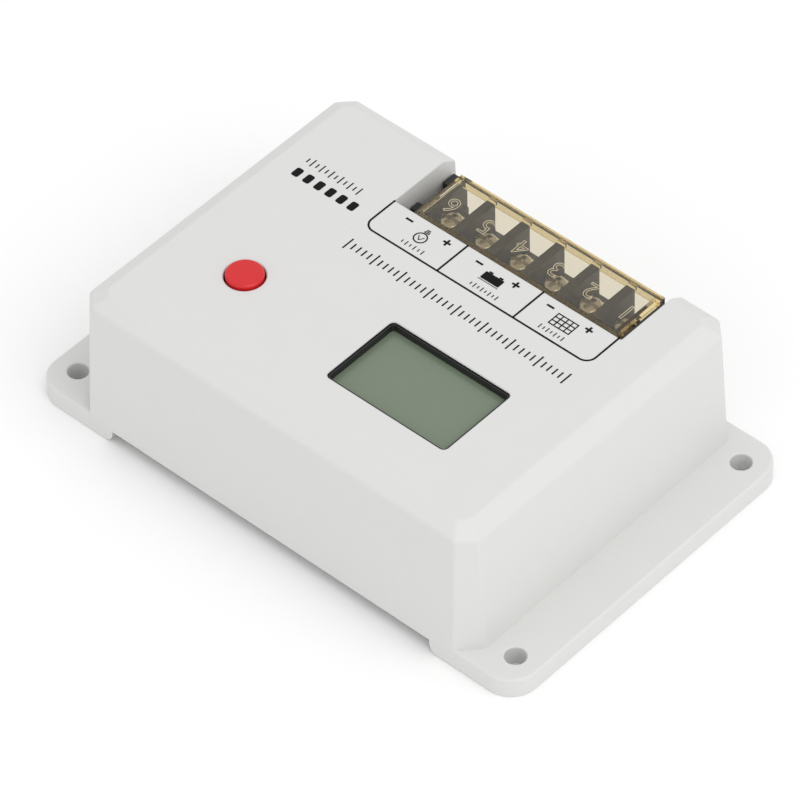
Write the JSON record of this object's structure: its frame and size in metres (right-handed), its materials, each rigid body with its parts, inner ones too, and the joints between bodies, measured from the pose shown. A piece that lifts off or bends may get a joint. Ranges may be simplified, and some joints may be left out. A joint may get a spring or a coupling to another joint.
{
  "type": "charge controller",
  "caption": "Wall-mounted charge controller for a panel, battery and load: white moulded case on two feet, blank display, push button and covered barrier terminals.",
  "frame": {"origin": "bottom centre of the case, on the plane of the two mounting feet", "axes": "+X along the case to the right seen from the terminal side, +Y away from the terminals, +Z out of the front panel"},
  "size_m": [0.1334, 0.085, 0.0381],
  "materials": {
    "housing_abs": "fine matt mould texture, white ABS",
    "block_black": "moulded black thermoplastic",
    "cover_amber": "transparent amber polycarbonate",
    "tinned_brass": "tin-plated brass",
    "plated_steel": "bright zinc or nickel plating",
    "bezel_black": "black moulded plastic",
    "display_glass": "grey-green polariser film over the liquid crystal",
    "light_guide": "milky light guide",
    "component_black": "moulded component bodies",
    "board_laminate": "green solder mask",
    "plate_aluminium": "brushed aluminium sheet",
    "button_red": "semi-gloss red ABS",
    "can_sleeve": "dark blue shrink sleeve",
    "copper_winding": "enamelled copper and copper alloy"
  },
  "bodies": {
    "root": {"housing": "housing_abs", "terminal_base": "block_black", "contact_plate_1": "tinned_brass", "contact_plate_2": "tinned_brass", "contact_plate_3": "tinned_brass", "contact_plate_4": "tinned_brass", "contact_plate_5": "tinned_brass", "contact_plate_6": "tinned_brass", "lcd_frame": "bezel_black", "lcd_panel": "display_glass", "lcd_backlight": "light_guide", "lcd_holder": "bezel_black", "lcd_pins": "bezel_black", "switch_body": "component_black", "circuit_board": "board_laminate", "back_plate": "plate_aluminium", "back_screw_1": "plated_steel", "back_screw_2": "plated_steel", "back_screw_3": "plated_steel", "back_screw_4": "plated_steel", "board_screw_1": "plated_steel", "board_screw_2": "plated_steel", "board_screw_3": "plated_steel", "board_screw_4": "plated_steel", "heat_spreader": "plate_aluminium", "mosfet_1": "component_black", "mosfet_2": "component_black", "mosfet_3": "component_black", "mosfet_4": "component_black", "microcontroller": "component_black", "capacitor_1": "can_sleeve", "capacitor_2": "can_sleeve", "choke": "copper_winding", "shunt_resistor": "copper_winding", "buzzer": "component_black"},
    "terminal_cover": {"terminal_cover": "cover_amber"},
    "clamp_1": {"clamp_washer_1": "plated_steel"},
    "screw_1": {"terminal_screw_1": "plated_steel"},
    "clamp_2": {"clamp_washer_2": "plated_steel"},
    "screw_2": {"terminal_screw_2": "plated_steel"},
    "clamp_3": {"clamp_washer_3": "plated_steel"},
    "screw_3": {"terminal_screw_3": "plated_steel"},
    "clamp_4": {"clamp_washer_4": "plated_steel"},
    "screw_4": {"terminal_screw_4": "plated_steel"},
    "clamp_5": {"clamp_washer_5": "plated_steel"},
    "screw_5": {"terminal_screw_5": "plated_steel"},
    "clamp_6": {"clamp_washer_6": "plated_steel"},
    "screw_6": {"terminal_screw_6": "plated_steel"},
    "button": {"button_cap": "button_red", "switch_plunger": "component_black"}
  },
  "joints": [
    {"name": "button_press", "type": "slide", "parent": "root", "child": "button", "axis": [0, 0, -1], "range_m": [0, 0.0008], "stiffness_N_per_m": 500},
    {"name": "cover_lift", "type": "slide", "parent": "root", "child": "terminal_cover", "axis": [0, 0, 1], "range_m": [0, 0.012]},
    {"name": "clamp_lift_1", "type": "slide", "parent": "root", "child": "clamp_1", "axis": [0, 0, 1], "range_m": [0, 0.00105]},
    {"name": "screw_turn_1", "type": "hinge", "parent": "clamp_1", "child": "screw_1", "pos_m": [-0.03455, -0.0289, 0.03], "axis": [0, 0, 1], "range_deg": [0, 541]},
    {"name": "clamp_lift_2", "type": "slide", "parent": "root", "child": "clamp_2", "axis": [0, 0, 1], "range_m": [0, 0.00105]},
    {"name": "screw_turn_2", "type": "hinge", "parent": "clamp_2", "child": "screw_2", "pos_m": [-0.02505, -0.0289, 0.03], "axis": [0, 0, 1], "range_deg": [0, 541]},
    {"name": "clamp_lift_3", "type": "slide", "parent": "root", "child": "clamp_3", "axis": [0, 0, 1], "range_m": [0, 0.00105]},
    {"name": "screw_turn_3", "type": "hinge", "parent": "clamp_3", "child": "screw_3", "pos_m": [-0.01555, -0.0289, 0.03], "axis": [0, 0, 1], "range_deg": [0, 541]},
    {"name": "clamp_lift_4", "type": "slide", "parent": "root", "child": "clamp_4", "axis": [0, 0, 1], "range_m": [0, 0.00105]},
    {"name": "screw_turn_4", "type": "hinge", "parent": "clamp_4", "child": "screw_4", "pos_m": [-0.00605, -0.0289, 0.03], "axis": [0, 0, 1], "range_deg": [0, 541]},
    {"name": "clamp_lift_5", "type": "slide", "parent": "root", "child": "clamp_5", "axis": [0, 0, 1], "range_m": [0, 0.00105]},
    {"name": "screw_turn_5", "type": "hinge", "parent": "clamp_5", "child": "screw_5", "pos_m": [0.00345, -0.0289, 0.03], "axis": [0, 0, 1], "range_deg": [0, 541]},
    {"name": "clamp_lift_6", "type": "slide", "parent": "root", "child": "clamp_6", "axis": [0, 0, 1], "range_m": [0, 0.00105]},
    {"name": "screw_turn_6", "type": "hinge", "parent": "clamp_6", "child": "screw_6", "pos_m": [0.01295, -0.0289, 0.03], "axis": [0, 0, 1], "range_deg": [0, 541]}
  ],
  "couplings": [
    {"joint": "screw_turn_1", "follows": "clamp_lift_1", "rad_per_m": 8976},
    {"joint": "screw_turn_2", "follows": "clamp_lift_2", "rad_per_m": 8976},
    {"joint": "screw_turn_3", "follows": "clamp_lift_3", "rad_per_m": 8976},
    {"joint": "screw_turn_4", "follows": "clamp_lift_4", "rad_per_m": 8976},
    {"joint": "screw_turn_5", "follows": "clamp_lift_5", "rad_per_m": 8976},
    {"joint": "screw_turn_6", "follows": "clamp_lift_6", "rad_per_m": 8976}
  ]
}
